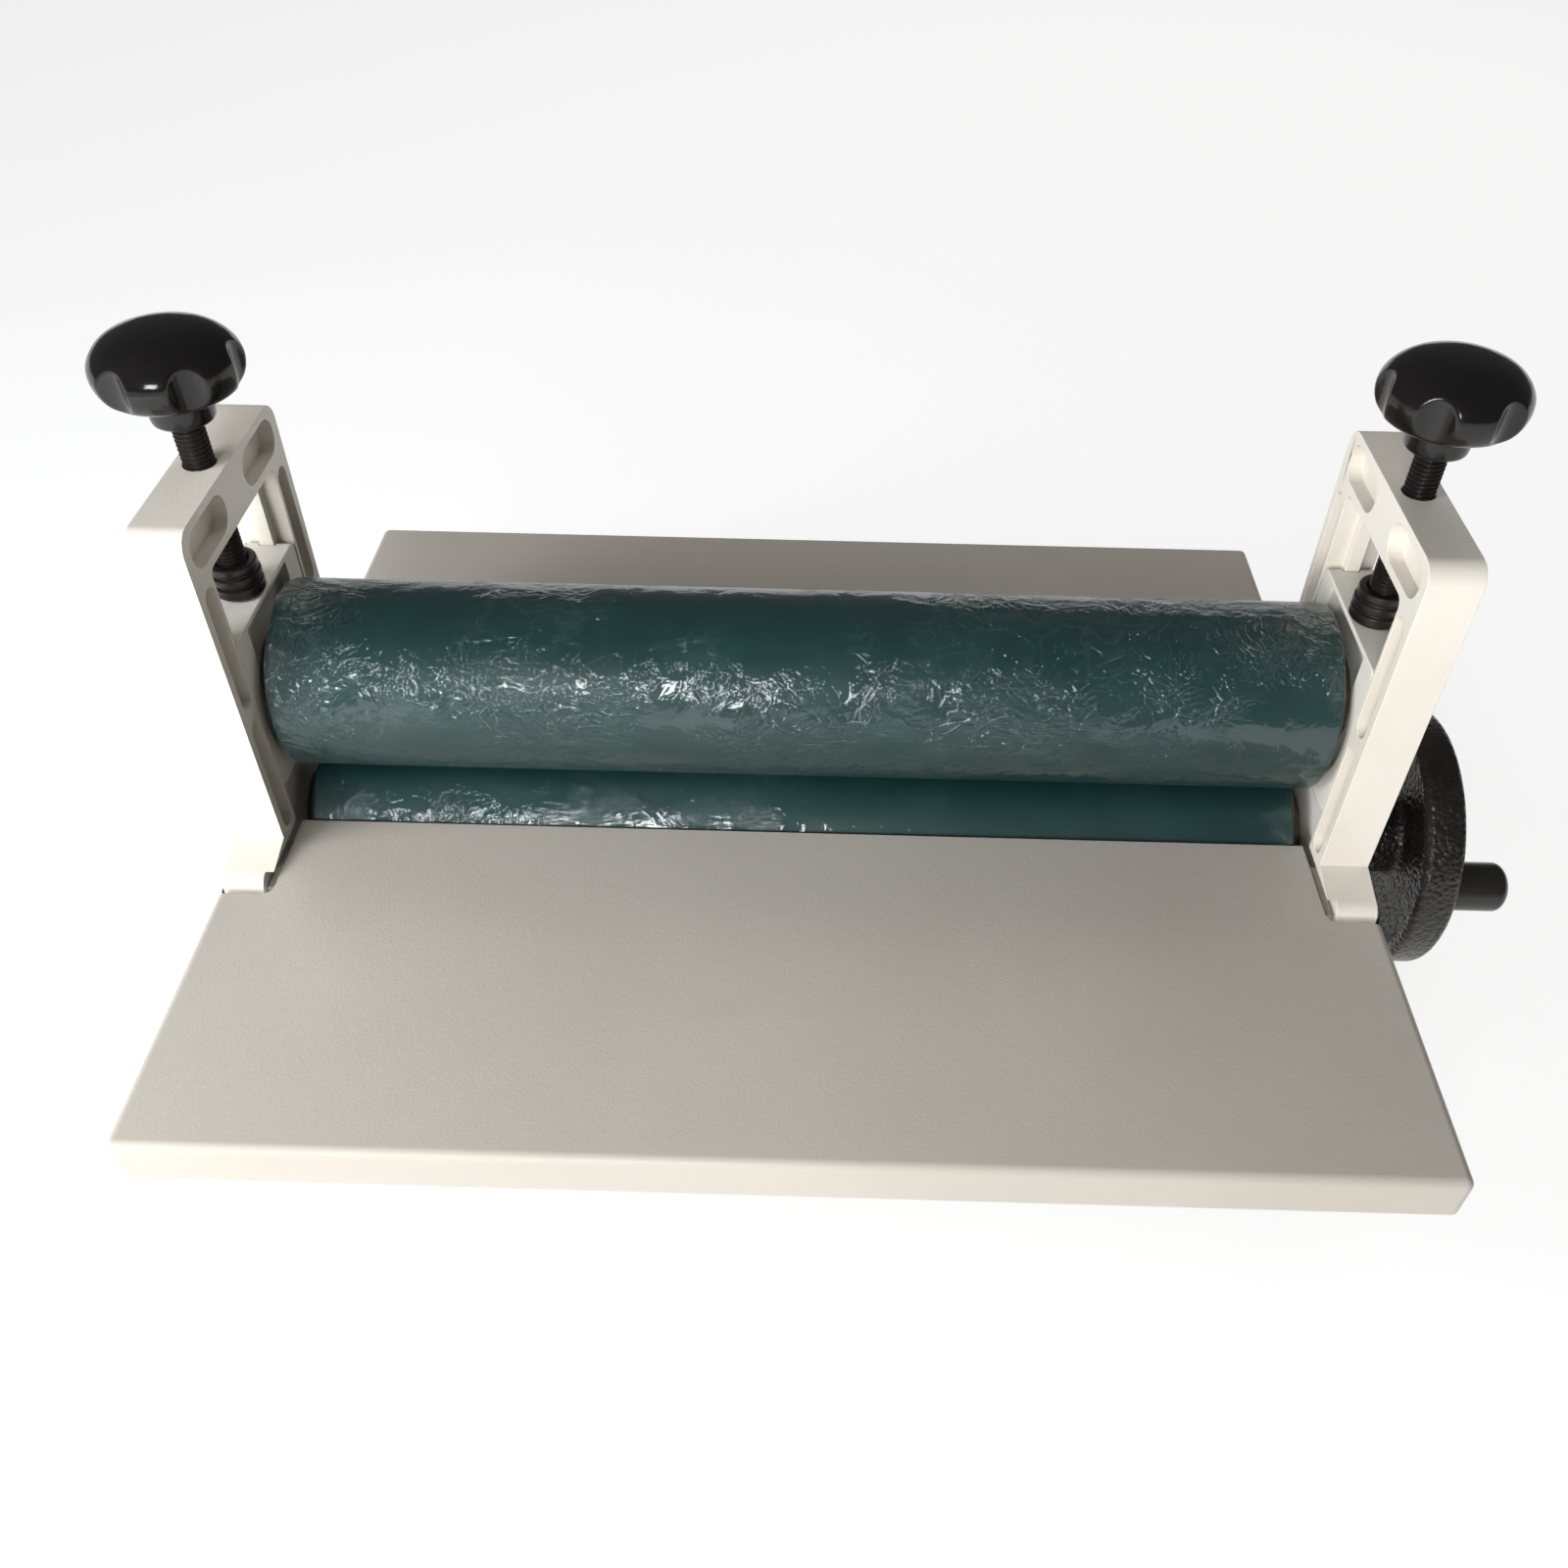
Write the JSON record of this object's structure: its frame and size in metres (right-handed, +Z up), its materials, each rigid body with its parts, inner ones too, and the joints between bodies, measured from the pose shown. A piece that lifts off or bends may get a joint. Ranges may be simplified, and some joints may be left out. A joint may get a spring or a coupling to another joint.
{
  "type": "cold roll laminator",
  "caption": "Table-top hand-cranked cold roll laminator: off-white cast frames, green rubber rollers, screw-down knobs, handwheel and grey infeed and outfeed decks.",
  "frame": {"origin": "on the table under the middle of the whole machine's box, knobs and crank grip included", "axes": "+X along the rollers towards the handwheel, -Y towards the infeed deck, +Z up"},
  "size_m": [0.4654, 0.332, 0.2523],
  "materials": {
    "cast_paint": "off-white semi-gloss paint on a fine-grained casting",
    "block_paint": "off-white satin paint",
    "deck_paint": "light grey fine-textured powder coat",
    "roller_rubber": "ground dark teal-green rubber",
    "foot_rubber": "matt black rubber",
    "bright_steel": "turned steel",
    "bronze": "turned bronze",
    "black_steel": "black-oxide steel, lightly oiled",
    "zinc_steel": "bright zinc plate",
    "knob_plastic": "polished black phenolic",
    "grip_plastic": "satin black plastic",
    "wheel_paint": "black hammered enamel",
    "clear_film": "clear crinkled wrapping film"
  },
  "bodies": {
    "base": {"front_cross_channel": "deck_paint", "front_deck": "deck_paint", "front_left_channel_bolt_1": "black_steel", "front_left_channel_bolt_2": "black_steel", "front_left_deck_screw": "zinc_steel", "front_left_foot": "foot_rubber", "front_left_foot_screw": "zinc_steel", "front_right_channel_bolt_1": "black_steel", "front_right_channel_bolt_2": "black_steel", "front_right_deck_screw": "zinc_steel", "front_right_foot": "foot_rubber", "front_right_foot_screw": "zinc_steel", "left_fixed_block": "block_paint", "left_lower_bush": "bronze", "left_side_frame": "cast_paint", "rear_cross_channel": "deck_paint", "rear_deck": "deck_paint", "rear_left_channel_bolt_1": "black_steel", "rear_left_channel_bolt_2": "black_steel", "rear_left_deck_screw": "zinc_steel", "rear_left_foot": "foot_rubber", "rear_left_foot_screw": "zinc_steel", "rear_right_channel_bolt_1": "black_steel", "rear_right_channel_bolt_2": "black_steel", "rear_right_deck_screw": "zinc_steel", "rear_right_foot": "foot_rubber", "rear_right_foot_screw": "zinc_steel", "right_fixed_block": "block_paint", "right_lower_bush": "bronze", "right_side_frame": "cast_paint"},
    "carriage": {"left_pressure_collar": "black_steel", "left_sliding_block": "block_paint", "left_upper_bush": "bronze", "right_pressure_collar": "black_steel", "right_sliding_block": "block_paint", "right_upper_bush": "bronze"},
    "upper_roller": {"left_upper_stub_shaft": "bright_steel", "right_upper_stub_shaft": "bright_steel", "upper_roller_rubber": "roller_rubber", "upper_roller_tube": "bright_steel"},
    "lower_roller": {"grip_bolt": "black_steel", "handwheel": "wheel_paint", "left_lower_stub_shaft": "bright_steel", "lower_roller_rubber": "roller_rubber", "lower_roller_tube": "bright_steel", "right_lower_stub_shaft": "bright_steel", "wheel_set_screw": "black_steel", "wheel_spacer": "zinc_steel"},
    "left_screw": {"left_knob": "knob_plastic", "left_pressure_screw": "black_steel"},
    "right_screw": {"right_knob": "knob_plastic", "right_pressure_screw": "black_steel"},
    "grip": {"crank_grip": "grip_plastic"}
  },
  "joints": [
    {"name": "lower_roller_turn", "type": "hinge", "parent": "base", "child": "lower_roller", "pos_m": [-0.02049, 0, 0.06], "axis": [1, 0, 0], "continuous": true},
    {"name": "crank_grip_turn", "type": "hinge", "parent": "lower_roller", "child": "grip", "pos_m": [0.22251, -0.03508, 0.0681], "axis": [1, 0, 0], "continuous": true},
    {"name": "carriage_lift", "type": "slide", "parent": "base", "child": "carriage", "axis": [0, 0, 1], "range_m": [0, 0.012]},
    {"name": "upper_roller_turn", "type": "hinge", "parent": "carriage", "child": "upper_roller", "pos_m": [-0.02049, 0, 0.126], "axis": [1, 0, 0], "continuous": true},
    {"name": "left_screw_turn", "type": "hinge", "parent": "carriage", "child": "left_screw", "pos_m": [-0.21059, 0, 0.23], "axis": [0, 0, 1], "range_deg": [0, 2880]},
    {"name": "right_screw_turn", "type": "hinge", "parent": "carriage", "child": "right_screw", "pos_m": [0.16961, 0, 0.23], "axis": [0, 0, 1], "range_deg": [0, 2880]}
  ],
  "couplings": [
    {"joint": "upper_roller_turn", "follows": "lower_roller_turn", "ratio": -1},
    {"joint": "left_screw_turn", "follows": "carriage_lift", "rad_per_m": 4188.8},
    {"joint": "right_screw_turn", "follows": "carriage_lift", "rad_per_m": 4188.8}
  ]
}
